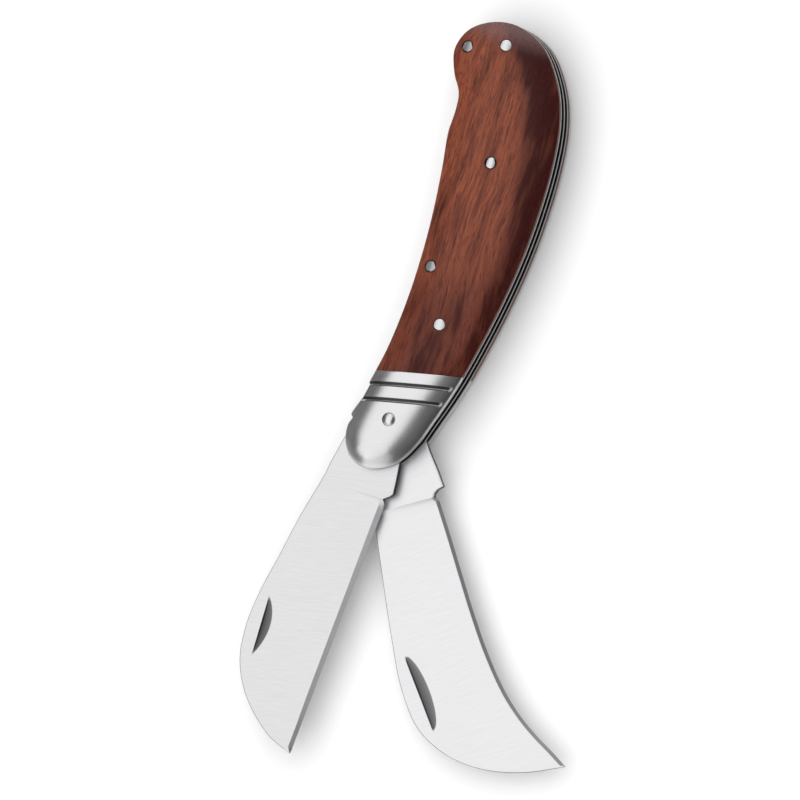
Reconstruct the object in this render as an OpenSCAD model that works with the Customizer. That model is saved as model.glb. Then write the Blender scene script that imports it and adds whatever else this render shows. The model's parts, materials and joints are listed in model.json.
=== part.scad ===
// Two-blade folding pruning and grafting knife: a straight-edged grafting blade and a
// hawkbill pruning blade turn side by side on one pivot pin, each against its own spring.
//
// The knife lies on its back: +Z is up through its thickness, +Y runs from the pivot
// towards the butt, and +X is the side that the blades fold into. X = Y = 0 is the pivot
// axis and Z = 0 is the face that the knife rests on.

/* [Size] */
// Length of the handle from its butt to the bolster's tip
handle_length = 113.3; // [105:0.1:125]

/* [Stack] */
// Thickness of each wooden scale and each bolster at its crown
scale_thickness = 4; // [3.5:0.1:5]
// Thickness of each of the three liners
liner_thickness = 1; // [0.8:0.1:1.5]
// Width of each of the two blade wells
well_width = 2.2; // [2.1:0.1:3]
// Thickness of each blade at its spine
blade_thickness = 2; // [1.4:0.1:2]

/* [Handle rounding] */
// Height of the upright edge beside a liner, below the rounding
wall_height = 1; // [0.6:0.1:1.6]
// How far the rounding reaches in from the edge
crown_reach = 6.5; // [4:0.5:7.5]
// Steps in the rounding
crown_steps = 5; // [3:1:8]

/* [Bolsters] */
// Slope of the joint and the grooves across the handle, in degrees
joint_slope = 11; // [4:1:14]
// Distance from the pivot to the joint between bolster and wood
joint_height = 11.8; // [11:0.1:14]
// Distances from the pivot to the two decorative grooves
groove_heights = [8.6, 4.7];
// Width of a groove
groove_width = 0.9; // [0.5:0.1:1.2]
// Depth of a groove
groove_depth = 0.5; // [0.2:0.1:0.7]

/* [Pins] */
// Radius of the pivot pin
pivot_radius = 1.6; // [1.4:0.1:1.8]
// Radius of the spring pins and the scale pins
pin_radius = 1.4; // [1:0.1:1.5]
// Radial play between the pivot pin and a blade
pivot_play = 0.05; // [0.02:0.01:0.1]

/* [Blades] */
// Angle between the hawkbill blade and its fully open place
hawkbill_angle = 30; // [0:1:120]
// Radius of the round tang that turns beside the spring
tang_radius = 6.3; // [6:0.1:6.3]
// Width of the sharpened bevel along the cutting edge
bevel_width = 1.3; // [0.8:0.1:1.6]
// Thickness of the ground blade where its bevel starts
ground_thickness = 0.8; // [0.5:0.1:1.2]
// Thickness left at the cutting edge
edge_thickness = 0.1; // [0.08:0.02:0.2]
// Depth of a nail nick
nick_depth = 0.75; // [0.4:0.05:0.9]
// Slope of a nail nick's shallow side, in degrees
nick_slope = 20; // [15:1:35]

/* [Hidden] */
$fn = 64;

steel_colour = "silver";
liner_colour = "dimgray";
spring_colour = "slategray";
wood_colour = "saddlebrown";

// The plan outlines below are drawn for a handle of this length and grow with it.
drawn_length = 113.3;
plan_scale = handle_length / drawn_length;
curve_steps = 4;

// Heights in the stack
outer_height = well_width + 1.5 * liner_thickness;
half_height = outer_height + scale_thickness;
well_offset = (liner_thickness + well_width) / 2;
past = 1;
far = 200;
land_overrun = 1.25;
cutter_depth = 8;

// Handle outline, once round: down the spring side, round the bolster, up the well side.
spring_side = [
    [-3.9, 99.8], [-9.2, 96.4], [-11.3, 91], [-9.7, 85.4], [-7.2, 81], [-6.7, 76.5],
    [-6.9, 71], [-5.8, 62.2], [-4.8, 50.5], [-4.5, 41], [-4.8, 29.1], [-6.1, 16.6], [-8.4, 5.8]
];
bolster_end = [
    [-9.9, -1.5], [-10.1, -6], [-8.4, -10.3], [-5.6, -12.3], [-2.3, -12.8],
    [1.5, -11.4], [4.7, -8.9], [7.8, -3.7], [9.7, 1.5]
];
well_side = [
    [12.9, 11], [15.4, 20.8], [18, 33.6], [19.8, 46.1], [20.6, 58.3], [20.5, 70.2],
    [19.2, 80.5], [16.1, 89], [10, 97], [2.6, 100.4]
];
// Middle of the handle's width at heights along it, from the bolster's round to the butt's
middle_line = [[-3, -0.8], [11, 2.6], [30, 6], [50, 7.3], [70, 6.7], [85, 4.6], [92, 2.8]];

// The spring's nose beside the tang, and its inner side from the nose up to the butt
spring_nose = [[-10.4, 0.4], [-10.8, -1.2], [-10.2, -1.9]];
spring_inner = [
    [-6.6, -1.9], [-6.6, 3.5], [-4.6, 9], [-4.1, 14], [-3.4, 20], [-1.9, 28], [0.6, 34],
    [1.4, 38.5], [0.4, 43.5], [-1.6, 52], [-2.7, 66], [-3.3, 80], [-3, 88], [-2.4, 99]
];

pivot = [0, 0];
spring_pin_at = [-1.2, 38.5];
butt_pin_at = [-8, 92.3];
scale_pins_at = [[5.4, 25.5], [6.2, 66.6], [1.4, 95.1]];

// Blades, fully open and pointing to -Y. Each pair of lists runs side by side: the spine
// and the edge side, down the tang and then from the plunge line to the tip.
tang_angles = [86, 66, 46, 23, 0];
grafting_tang_spine = [
    [-5.9, -2.2], [-9.8, -2.4], [-10.5, -5.4], [-11.4, -9.5], [-12.5, -14.2],
    [-12.8, -16.4], [-13, -17.3], [-13.2, -17.9], [-13.3, -18.4]
];
grafting_tang_edge = [
    [5.9, -2.2], [5.4, -3.4], [4.5, -5.6], [4.3, -9], [4.8, -14],
    [5, -17.1], [4.3, -17.9], [3.3, -18.6], [2.9, -18.9]
];
grafting_spine = [
    [-13.5, -19.2], [-16, -28.5], [-18.1, -38.7], [-20.2, -48.4], [-21.2, -57.8],
    [-20.1, -66.6], [-15.8, -74.6], [-8.4, -81.5], [-1.5, -84.6]
];
grafting_heel = [3.5, -20];
grafting_tip = [-1.5, -84.6];
grafting_edge = [for (k = [0:8]) grafting_heel + (grafting_tip - grafting_heel) * k / 8];

hawkbill_tang_spine = [
    [-5.9, -2.2], [-9.8, -2.4], [-10, -5.4], [-10.2, -9.5], [-10.5, -14.2],
    [-10.7, -17.6], [-10.8, -18.4], [-10.9, -19.2], [-10.9, -20.2]
];
hawkbill_tang_edge = [
    [5.9, -2.2], [5.8, -3.4], [5.9, -5.6], [6.3, -9], [7.2, -14],
    [7.7, -18], [6.2, -18.4], [5.2, -19.2], [4.8, -20]
];
hawkbill_spine = [
    [-11, -21.2], [-11.7, -30.5], [-12.6, -41.5], [-13.3, -52.5], [-13.6, -63],
    [-11.8, -73.8], [-6.4, -81.8], [1.5, -87.4], [11.5, -90.7], [21.9, -91.8]
];
hawkbill_edge = [
    [5.8, -21.2], [6.6, -30.7], [7.3, -40.5], [8.1, -50.5], [9.3, -60.5],
    [11.3, -70.2], [13.9, -77.5], [16.6, -82.8], [19.4, -87.4], [21.9, -91.8]
];
// The nail nicks' straight sides, from their upper to their lower ends
grafting_nick = [[-17.7, -49.3], [-17.7, -64.1]];
hawkbill_nick = [[-11.1, -56.1], [-8.2, -75.4]];

// ---- Curves ----

// Distance between two points
function gap(a, b) = norm(b - a);

// Direction of a smooth curve at b, on its way from a to c
function heading(a, b, c) = (c - a) / (gap(a, b) + gap(b, c));

// Cubic Hermite curve from b to c at t, with its directions from the points a and d beside them
function between(a, b, c, d, t) =
    let (length = gap(b, c), u = 1 - t)
    b * (1 + 2 * t) * u * u + c * t * t * (3 - 2 * t)
    + heading(a, b, c) * length * t * u * u - heading(b, c, d) * length * t * t * u;

// Closed smooth curve through a ring of points
function closed_curve(points) =
    let (n = len(points))
    [for (i = [0:n - 1]) for (s = [0:curve_steps - 1])
        between(points[(i + n - 1) % n], points[i], points[(i + 1) % n],
                points[(i + 2) % n], s / curve_steps)];

// Open smooth curve through a row of points, with straight run-outs at its two ends
function open_curve(points) =
    let (n = len(points),
         row = concat([2 * points[0] - points[1]], points, [2 * points[n - 1] - points[n - 2]]))
    concat([for (i = [0:n - 2]) for (s = [0:curve_steps - 1])
                between(row[i], row[i + 1], row[i + 2], row[i + 3], s / curve_steps)],
           [points[n - 1]]);

function plan(points) = [for (p = points) p * plan_scale];

handle_outline = plan(closed_curve(concat(spring_side, bolster_end, well_side)));

// The point of the middle line that an outline point rounds towards
function centre_of(p) =
    let (low = middle_line[0], high = middle_line[len(middle_line) - 1],
         y = max(low[0], min(high[0], p[1] / plan_scale)))
    [lookup(y, middle_line), y] * plan_scale;

function inset(p, amount) = let (c = centre_of(p)) p + (c - p) * amount / gap(p, c);

// ---- Solids from rings of points ----

// Skin over rings that each hold the same number of points, counter-clockwise from the last
module skin(rings) {
    n = len(rings[0]);
    last = (len(rings) - 1) * n;
    sides = [for (i = [0:len(rings) - 2]) for (j = [0:n - 1])
        let (a = i * n + j, b = i * n + (j + 1) % n)
        each [[a, a + n, b + n], [a, b + n, b]]];
    polyhedron([for (ring = rings) each ring],
               concat(sides, [[for (j = [0:n - 1]) j]], [[for (j = [n - 1:-1:0]) last + j]]));
}

// How far in and how high the rounding is at a step. The last step runs past the crown's
// flat land, which is then cut level.
function rounding(step) =
    step == crown_steps
    ? let (before = rounding(step - 1)) before + land_overrun * ([crown_reach, scale_thickness] - before)
    : let (turn = 90 * step / crown_steps)
      [crown_reach * (1 - cos(turn)), wall_height + (scale_thickness - wall_height) * sin(turn)];

// One ring of the rounded handle, sunk below its surface
function crown_ring(step, sunk) =
    let (at = rounding(step))
    at_height([for (p = handle_outline) inset(p, at[0] + sunk)], outer_height + at[1] - sunk);

function at_height(ring, z) = [for (p = ring) [p[0], p[1], z]];

// Everything below is drawn about the knife's mid-plane and lifted into place at the end.

// The handle's rounded shape over its front liner, sunk below the surface all over
module rounded_side(sunk = 0) {
    rings = [for (step = [0:crown_steps]) crown_ring(step, sunk)];
    intersection() {
        skin(concat([at_height(rings[0], 0)], rings));
        translate([-far / 2, -far / 2, outer_height]) cube([far, far, scale_thickness - sunk]);
    }
}

// Everything on the bolster's side of a sloping line across the handle
module below_line(height) {
    rotate([0, 0, joint_slope]) translate([-far / 2, height * plan_scale - far, 0])
        cube([far, far, half_height + past]);
}

module hole(at, radius) {
    translate([at[0] * plan_scale, at[1] * plan_scale, 0])
        cylinder(r = radius, h = 2 * (half_height + past), center = true);
}

module spring_holes() {
    hole(spring_pin_at, pin_radius);
    hole(butt_pin_at, pin_radius);
}

module scale_holes() {
    for (at = scale_pins_at) hole(at, pin_radius);
}

// Lifts a piece from the mid-plane's frame into the knife's own
module lifted() { translate([0, 0, half_height]) children(); }

module mirrored() { mirror([0, 0, 1]) children(); }

// ---- Handle ----

module scale_side() {
    difference() {
        rounded_side();
        below_line(joint_height);
        spring_holes();
        scale_holes();
    }
}

module groove(height) {
    rotate([0, 0, joint_slope]) translate([-far / 2, height * plan_scale - groove_width / 2, 0])
        cube([far, groove_width, half_height + past]);
}

module bolster_side() {
    difference() {
        intersection() {
            rounded_side();
            below_line(joint_height);
        }
        difference() {
            for (height = groove_heights) groove(height);
            rounded_side(groove_depth);
        }
        hole(pivot, pivot_radius);
    }
}

module liner(low, outer) {
    difference() {
        translate([0, 0, low]) linear_extrude(liner_thickness) polygon(handle_outline);
        hole(pivot, pivot_radius);
        spring_holes();
        if (outer) scale_holes();
    }
}

module spring(middle_z) {
    outer = open_curve(concat(spring_side, spring_nose));
    inner = open_curve(spring_inner);
    difference() {
        translate([0, 0, middle_z - well_width / 2])
            linear_extrude(well_width) polygon(plan(concat(outer, inner)));
        spring_holes();
    }
}

module pin(at, radius, low, high) {
    translate([at[0] * plan_scale, at[1] * plan_scale, low]) cylinder(r = radius, h = high - low);
}

// The part of a pin inside the front scale, its head ground flush with the rounding
module flush_head(at) {
    intersection() {
        pin(at, pin_radius, outer_height, half_height + past);
        rounded_side();
    }
}

module through_pin(at) {
    pin(at, pin_radius, -outer_height, outer_height);
    flush_head(at);
    mirrored() flush_head(at);
}

// A short pin through the front scale and its liner only
module scale_pin(at) {
    pin(at, pin_radius, outer_height - liner_thickness, outer_height);
    flush_head(at);
}

// ---- Blades ----

tang_round = [for (a = tang_angles) [cos(a), sin(a)] * tang_radius / plan_scale];

// One cross-section of a blade, from its edge side over the front face to its spine and
// back under. ground is 0 on the tang and 1 on the ground blade.
function blade_ring(spine, edge, ground) =
    let (width = gap(spine, edge),
         inner = edge + (spine - edge) * min(bevel_width / width, 0.5),
         slim = min(1, 0.1 + width / 6),
         full = blade_thickness / 2,
         z_spine = full * slim,
         z_inner = ground == 1 ? min(ground_thickness / 2, z_spine * 0.8) : full,
         z_edge = ground == 1 ? edge_thickness / 2 : full)
    [[edge[0], edge[1], -z_edge], [edge[0], edge[1], z_edge],
     [inner[0], inner[1], z_inner], [spine[0], spine[1], z_spine],
     [spine[0], spine[1], -z_spine], [inner[0], inner[1], -z_inner]];

// A circular cutter sunk along the nick's straight side, its rim leaving the curved side
module nick_cut(ends) {
    a = ends[0] * plan_scale;
    b = ends[1] * plan_scale;
    wall_slope = 90 - nick_slope;
    sunk = nick_depth / sin(wall_slope);
    chord = gap(a, b);
    cutter_radius = chord * chord / (8 * sunk) + sunk / 2;
    middle = (a + b) / 2;
    bearing = atan2(a[1] - b[1], a[0] - b[0]);
    translate([middle[0], middle[1], blade_thickness / 2])
        rotate([0, 0, bearing - 90])
            rotate([0, wall_slope, 0])
                translate([sunk - cutter_radius, 0, 0])
                    cylinder(r = cutter_radius, h = cutter_depth, $fn = 180);
}

module blade(tang_spine, tang_edge, spine, edge, nick) {
    left = concat([for (p = tang_round) [-p[0], p[1]]], tang_spine);
    right = concat(tang_round, tang_edge);
    ground_left = open_curve(spine);
    ground_right = open_curve(edge);
    count = len(ground_left) - 1;
    tang = [for (k = [0:len(left) - 1])
        blade_ring(left[k] * plan_scale, right[k] * plan_scale, 0)];
    body = [for (k = [0:count])
        let (tip_width = k == count ? [0.15, 0] : [0, 0])
        blade_ring(ground_left[k] * plan_scale - tip_width, ground_right[k] * plan_scale, 1)];
    difference() {
        skin(concat(tang, body));
        translate([0, 0, -past - blade_thickness])
            cylinder(r = pivot_radius + pivot_play, h = 2 * (past + blade_thickness));
        nick_cut(nick);
    }
}

// ---- Nodes ----

module front_scale() { color(wood_colour) lifted() scale_side(); }
module back_scale() { color(wood_colour) lifted() mirrored() scale_side(); }
module front_bolster() { color(steel_colour) lifted() bolster_side(); }
module back_bolster() { color(steel_colour) lifted() mirrored() bolster_side(); }

module front_liner() { color(liner_colour) lifted() liner(outer_height - liner_thickness, true); }
module centre_liner() { color(liner_colour) lifted() liner(-liner_thickness / 2, false); }
module back_liner() { color(liner_colour) lifted() liner(-outer_height, true); }

module front_spring() { color(spring_colour) lifted() spring(well_offset); }
module back_spring() { color(spring_colour) lifted() spring(-well_offset); }

module grafting_blade() {
    color(steel_colour) lifted() translate([0, 0, well_offset])
        blade(grafting_tang_spine, grafting_tang_edge, grafting_spine, grafting_edge, grafting_nick);
}

module hawkbill_blade() {
    color(steel_colour) lifted() translate([0, 0, -well_offset]) rotate([0, 0, hawkbill_angle])
        blade(hawkbill_tang_spine, hawkbill_tang_edge, hawkbill_spine, hawkbill_edge, hawkbill_nick);
}

module pivot_pin() { color(steel_colour) lifted() pin(pivot, pivot_radius, -half_height, half_height); }
module spring_pin() { color(steel_colour) lifted() through_pin(spring_pin_at); }
module butt_pin() { color(steel_colour) lifted() through_pin(butt_pin_at); }

module front_scale_pin_1() { color(steel_colour) lifted() scale_pin(scale_pins_at[0]); }
module front_scale_pin_2() { color(steel_colour) lifted() scale_pin(scale_pins_at[1]); }
module front_scale_pin_3() { color(steel_colour) lifted() scale_pin(scale_pins_at[2]); }
module back_scale_pin_1() { color(steel_colour) lifted() mirrored() scale_pin(scale_pins_at[0]); }
module back_scale_pin_2() { color(steel_colour) lifted() mirrored() scale_pin(scale_pins_at[1]); }
module back_scale_pin_3() { color(steel_colour) lifted() mirrored() scale_pin(scale_pins_at[2]); }

front_scale();
back_scale();
front_bolster();
back_bolster();
front_liner();
centre_liner();
back_liner();
front_spring();
back_spring();
grafting_blade();
hawkbill_blade();
pivot_pin();
spring_pin();
butt_pin();
front_scale_pin_1();
front_scale_pin_2();
front_scale_pin_3();
back_scale_pin_1();
back_scale_pin_2();
back_scale_pin_3();
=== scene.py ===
"""Two-blade folding pruning and grafting knife, dressed around its fixed frame.

The handle, its steel parts and both blades are surfaces worked out on grids. Sizes are in
millimetres and become metres when a mesh is made. X = Y = 0 is the pivot's axis, +Y runs
towards the butt, +X is the side that the blades fold into, and Z = 0 is the resting face.
"""

import functools
import json
import logging
import math
from dataclasses import dataclass
from enum import Enum
from typing import Any

import bmesh
import bpy
import numpy as np
from mathutils import Matrix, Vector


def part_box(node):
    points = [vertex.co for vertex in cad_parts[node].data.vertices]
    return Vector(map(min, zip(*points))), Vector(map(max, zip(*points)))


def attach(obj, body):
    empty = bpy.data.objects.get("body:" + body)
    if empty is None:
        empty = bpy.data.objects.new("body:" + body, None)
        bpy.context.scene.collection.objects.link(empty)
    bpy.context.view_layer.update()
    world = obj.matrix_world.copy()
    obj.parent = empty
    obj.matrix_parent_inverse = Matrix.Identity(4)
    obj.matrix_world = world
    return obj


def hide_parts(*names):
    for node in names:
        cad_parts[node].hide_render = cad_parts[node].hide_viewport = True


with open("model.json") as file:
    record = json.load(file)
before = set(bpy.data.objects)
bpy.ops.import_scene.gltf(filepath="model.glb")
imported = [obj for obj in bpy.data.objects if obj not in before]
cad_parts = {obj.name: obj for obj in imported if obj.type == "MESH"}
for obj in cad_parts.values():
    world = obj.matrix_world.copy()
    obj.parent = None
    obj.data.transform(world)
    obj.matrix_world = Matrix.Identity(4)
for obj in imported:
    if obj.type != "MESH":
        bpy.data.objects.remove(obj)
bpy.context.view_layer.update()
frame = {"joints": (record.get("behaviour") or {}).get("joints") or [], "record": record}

MM = 0.001
SHADE = "shade"
DRILL_SIDES = 48
DRILL_SPARE = 1.0
DRILL_EDGE = 0.01
WELD_REACH = 2e-8
Outline = list[tuple[float, float]]
Colour = tuple[float, float, float]
Grain = tuple[float, float, float, float]
log = logging.getLogger("knife")


class Side(Enum):
    """Which face of the knife a piece is on. The value is the sign of its height."""

    FRONT = 1
    BACK = -1

    @property
    def word(self) -> str:
        """The side's name as the frame's nodes spell it."""
        return self.name.lower()


class Slot(Enum):
    """The record's material slots."""

    WOOD = "rosewood"
    BOLSTER = "bolster_steel"
    LINER = "liner_steel"
    SPRING = "spring_steel"
    BLADE = "blade_steel"
    PIN = "pin_steel"


# ---- Shader expressions ----


class Wire:
    """One number that a material's nodes give, which Python's operators can be used on."""

    def __init__(self, paint: "Paint", socket: bpy.types.NodeSocket) -> None:
        """Keeps the node output.

        Args:
            paint: The material that the output belongs to.
            socket: The output itself.
        """
        self.paint = paint
        self.socket = socket

    def math(self, operation: str, *values: Any) -> "Wire":
        """Adds a Math node.

        Args:
            operation: The node's operation.
            values: What goes into its sockets, in their order.

        Returns:
            The node's result.
        """
        return self.paint.node("ShaderNodeMath", {"operation": operation}, dict(enumerate(values)))

    def __add__(self, other: Any) -> "Wire":
        """self + other."""
        return self.math("ADD", self, other)

    def __radd__(self, other: Any) -> "Wire":
        """other + self."""
        return self.math("ADD", other, self)

    def __sub__(self, other: Any) -> "Wire":
        """self - other."""
        return self.math("SUBTRACT", self, other)

    def __rsub__(self, other: Any) -> "Wire":
        """other - self."""
        return self.math("SUBTRACT", other, self)

    def __mul__(self, other: Any) -> "Wire":
        """self * other."""
        return self.math("MULTIPLY", self, other)

    def __rmul__(self, other: Any) -> "Wire":
        """other * self."""
        return self.math("MULTIPLY", other, self)

    def least(self, other: Any) -> "Wire":
        """The smaller of self and other."""
        return self.math("MINIMUM", self, other)

    def ramp(self, start: float, end: float, low: float = 0.0, high: float = 1.0) -> "Wire":
        """Smooth step between two values.

        Args:
            start: Where the step leaves low.
            end: Where the step reaches high.
            low: The result at start and before it.
            high: The result at end and past it.

        Returns:
            The stepped value.
        """
        return self.paint.node("ShaderNodeMapRange", {"interpolation_type": "SMOOTHSTEP"},
                               {0: self, 1: start, 2: end, 3: low, 4: high})


class Paint:
    """A procedural material under construction, on the piece's own coordinates in millimetres."""

    def __init__(self, name: str) -> None:
        """Starts an empty node tree that holds a Principled shader.

        Args:
            name: The material's name.
        """
        self.material = bpy.data.materials.new(name)
        self.material.use_nodes = True
        self.tree = self.material.node_tree
        self.tree.nodes.clear()
        self.shader = self.tree.nodes.new("ShaderNodeBsdfPrincipled")
        output = self.tree.nodes.new("ShaderNodeOutputMaterial")
        self.tree.links.new(self.shader.outputs[0], output.inputs["Surface"])

    def connect(self, socket: bpy.types.NodeSocket, value: Any) -> None:
        """Links a wire to an input, or writes a value into it.

        Args:
            socket: The input.
            value: A wire, a number, or a colour or vector.
        """
        if isinstance(value, Wire):
            self.tree.links.new(value.socket, socket)
        elif isinstance(value, tuple) and socket.type == "RGBA":
            socket.default_value = (*value, 1.0)
        else:
            socket.default_value = value

    def node(self, kind: str, settings: dict[str, Any] | None = None,
             values: dict[int | str, Any] | None = None, output: int = 0) -> Wire:
        """Adds any node.

        Args:
            kind: The node's type.
            settings: Its properties. "stops" are a ramp's places and colours.
            values: What goes into its inputs, by their name or number.
            output: Which output is wanted.

        Returns:
            That output.
        """
        made = self.tree.nodes.new(kind)
        for key, value in (settings or {}).items():
            if key == "stops":
                elements = made.color_ramp.elements
                while len(elements) < len(value):
                    elements.new(0.5)
                for element, (place, colour) in zip(elements, value):
                    element.position = place
                    element.color = (*colour, 1.0)
            else:
                setattr(made, key, value)
        for key, value in (values or {}).items():
            self.connect(made.inputs[key], value)
        return Wire(self, made.outputs[output])

    def places(self, scale: tuple[float, float, float] = (1, 1, 1), turn: float = 0.0) -> Wire:
        """The piece's own coordinates.

        Args:
            scale: Pattern units to a millimetre along each axis, after the turn.
            turn: How far the pattern is turned about Z, in radians.

        Returns:
            A vector.
        """
        here = self.node("ShaderNodeTexCoord", output=3)
        turned = self.node("ShaderNodeVectorRotate", {"rotation_type": "Z_AXIS"},
                           {"Vector": here, "Angle": -turn})
        return self.node("ShaderNodeVectorMath", {"operation": "MULTIPLY"},
                         {0: turned, 1: tuple(s / MM for s in scale)})

    def axis(self, vector: Wire, number: int) -> Wire:
        """One axis of a vector."""
        return self.node("ShaderNodeSeparateXYZ", values={0: vector}, output=number)

    def noise(self, vector: Wire, detail: float = 2.0, roughness: float = 0.5) -> Wire:
        """Smooth noise from 0 to 1.

        Args:
            vector: Where it is read, one unit to a grain.
            detail: How many finer layers are added.
            roughness: The strength of each finer layer.

        Returns:
            The noise.
        """
        return self.node("ShaderNodeTexNoise", values={
            "Vector": vector, "Scale": 1.0, "Detail": detail, "Roughness": roughness})

    def shade(self) -> Wire:
        """The piece's painted shade, point by point."""
        return self.node("ShaderNodeAttribute", {"attribute_name": SHADE}, output=2)

    def blend(self, factor: Any, first: Any, second: Any, mode: str = "MIX") -> Wire:
        """Mixes two colours.

        Args:
            factor: 0 gives the first and 1 the second.
            first: A colour.
            second: A colour.
            mode: The way of mixing.

        Returns:
            The mixed colour.
        """
        return self.node("ShaderNodeMix", {"data_type": "RGBA", "blend_type": mode},
                         {0: factor, 6: first, 7: second}, output=2)

    def finish(self, bump: Wire | None = None, depth: float = 0.0, **inputs: Any) -> bpy.types.Material:
        """Fills in the shader.

        Args:
            bump: A height from 0 to 1 that roughens the surface.
            depth: What a height of 1 stands for, in millimetres.
            inputs: The shader's inputs, with _ for a space in their names.

        Returns:
            The finished material.
        """
        for key, value in inputs.items():
            self.connect(self.shader.inputs[key.replace("_", " ")], value)
        if bump is not None:
            normal = self.node("ShaderNodeBump", values={"Height": bump, "Distance": depth * MM})
            self.connect(self.shader.inputs["Normal"], normal)
        return self.material


# ---- Finishes ----


@dataclass(frozen=True)
class Rosewood:
    """Oiled rosewood with a straight grain along the handle.

    A grain is its width and its length in millimetres, its finer layers and their strength.
    """

    dark: Colour = (0.040, 0.009, 0.007)
    plain: Colour = (0.170, 0.041, 0.020)
    warm: Colour = (0.340, 0.094, 0.042)
    # Deep red multiplied in by the piece's shade: painted shade, with darker timber in it.
    shaded: Colour = (0.15, 0.045, 0.06)
    # Pale, greyish painted sheen at the butt.
    dusty: Colour = (0.160, 0.095, 0.088)
    figure: Grain = (3.0, 19.0, 3.0, 0.6)
    streaks: Grain = (0.42, 8.0, 3.0, 0.7)
    pores: Grain = (0.22, 2.4, 1.0, 0.5)
    flecks: Grain = (0.40, 4.0, 2.0, 0.6)
    tone_stops: tuple[float, float, float] = (0.32, 0.50, 0.70)
    figure_share: float = 0.45
    drift_size: tuple[float, float, float] = (0.06, 0.03, 0.06)
    drift_reach: float = 5.0
    # Where the butt's painted sheen starts and is full, and how strong it is.
    butt_reach: tuple[float, float] = (93.5, 100.0)
    butt_strength: float = 0.75
    ring_reach: float = 0.45
    ring_strength: float = 0.8
    relief_depth: float = 0.02

    def material(self, name: str, pins: list[np.ndarray], pin_radius: float) -> bpy.types.Material:
        """Makes the wood.

        Broad figure, fine streaks, flecks and short pores are noises stretched along the
        grain. A slow sideways drift bends them all. Where the piece's shade is strong, which is
        painted shade with darker timber in it, the colour is multiplied by a deep red, and figure
        and streaks break up the border. The butt gets a pale, greyish painted sheen, and each
        pin's hole has a dark rim.

        Args:
            name: The material's name.
            pins: Where the pins stand, as points in the plan.
            pin_radius: The pins' radius.

        Returns:
            The material.
        """
        paint = Paint(name)
        place = paint.places()
        drift = (paint.noise(paint.places(self.drift_size), 1.0) - 0.5) * self.drift_reach
        bend = paint.node("ShaderNodeCombineXYZ", values={0: drift, 1: 0.0, 2: 0.0})
        bent = paint.node("ShaderNodeVectorMath", {"operation": "ADD"}, {0: place, 1: bend})

        def grain(across: float, along: float, detail: float, roughness: float) -> Wire:
            """Noise with grains of a given size across and along the handle."""
            fitted = paint.node("ShaderNodeVectorMath", {"operation": "MULTIPLY"},
                                {0: bent, 1: (1 / across, 1 / along, 1 / across)})
            return paint.noise(fitted, detail, roughness)

        figure, streaks = grain(*self.figure), grain(*self.streaks)
        pores, flecks = grain(*self.pores), grain(*self.flecks)
        tone = figure * self.figure_share + streaks * (1 - self.figure_share)
        stops = list(zip(self.tone_stops, (self.dark, self.plain, self.warm)))
        colour = paint.node("ShaderNodeValToRGB", {"stops": stops}, {0: tone})
        # The piece's shade: painted shade along the well side, with darker timber in it.
        ragged = paint.shade() + (figure - 0.5) * 2.0 + (streaks - 0.5) * 1.2
        colour = paint.blend(ragged.ramp(0.15, 0.95), colour, self.shaded, "MULTIPLY")
        # Painted sheen blended over the butt's end.
        butt = paint.axis(bent, 1).ramp(*self.butt_reach, 0.0, self.butt_strength)
        colour = paint.blend(butt, colour, self.dusty)
        pits = pores.ramp(0.57, 0.68) * 0.5 + flecks.ramp(0.60, 0.74) * 0.45
        colour = paint.blend(pits.least(0.8), colour, self.dark)
        flat = paint.node("ShaderNodeVectorMath", {"operation": "MULTIPLY"},
                          {0: place, 1: (1, 1, 0)})
        away = [paint.node("ShaderNodeVectorMath", {"operation": "DISTANCE"},
                           {0: flat, 1: (float(pin[0]), float(pin[1]), 0.0)}, output=1)
                for pin in pins]
        nearest = functools.reduce(Wire.least, away)
        rim = nearest.ramp(pin_radius, pin_radius + self.ring_reach, self.ring_strength, 0.0)
        colour = paint.blend(rim, colour, self.dark)
        relief = 1.0 - pits * 0.8 - streaks * 0.2
        return paint.finish(bump=relief, depth=self.relief_depth, Base_Color=colour,
                            Roughness=0.40 + streaks * 0.16 + pits * 0.2,
                            Specular_IOR_Level=0.18, Coat_Weight=0.05, Coat_Roughness=0.25)


@dataclass(frozen=True)
class Steel:
    """Brushed or polished steel, darker where shade is painted on its piece."""

    tone: float = 0.80
    roughness: float = 0.25
    line_width: float = 0.12
    line_length: float = 8.0
    line_turn: float = 0.0
    line_depth: float = 0.002
    line_tone: float = 0.04
    stain: float = 0.05
    stain_size: float = 0.09
    darkening: float = 0.9

    def material(self, name: str) -> bpy.types.Material:
        """Makes the steel.

        Brushing is a noise stretched along the lines. A broad noise varies how shiny and how
        pale the metal is. Painted shade, read from the piece, takes off most of the tone and
        roughens the metal, and a shade under 0 is a painted highlight that makes it paler.

        Args:
            name: The material's name.

        Returns:
            The material.
        """
        paint = Paint(name)
        thin, long = 1 / self.line_width, 1 / self.line_length
        lines = paint.noise(paint.places((long, thin, thin), self.line_turn), 2.0, 0.6)
        broad = paint.noise(paint.places((self.stain_size,) * 3), 3.0, 0.5)
        mask = paint.shade()
        pale = self.tone * (1.0 + (broad - 0.5) * self.stain + (lines - 0.5) * self.line_tone)
        # Painted shade darkens the metal, and a shade below 0 is a painted highlight.
        pale = pale * (1.0 - mask * self.darkening)
        colour = paint.node("ShaderNodeCombineColor", values={0: pale, 1: pale, 2: pale * 1.01})
        rough = self.roughness + (lines - 0.5) * 0.12 + (broad - 0.5) * 0.1 + mask * 0.15
        return paint.finish(bump=lines, depth=self.line_depth, Base_Color=colour, Metallic=1.0,
                            Roughness=rough)


# ---- Curves and meshes ----


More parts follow.
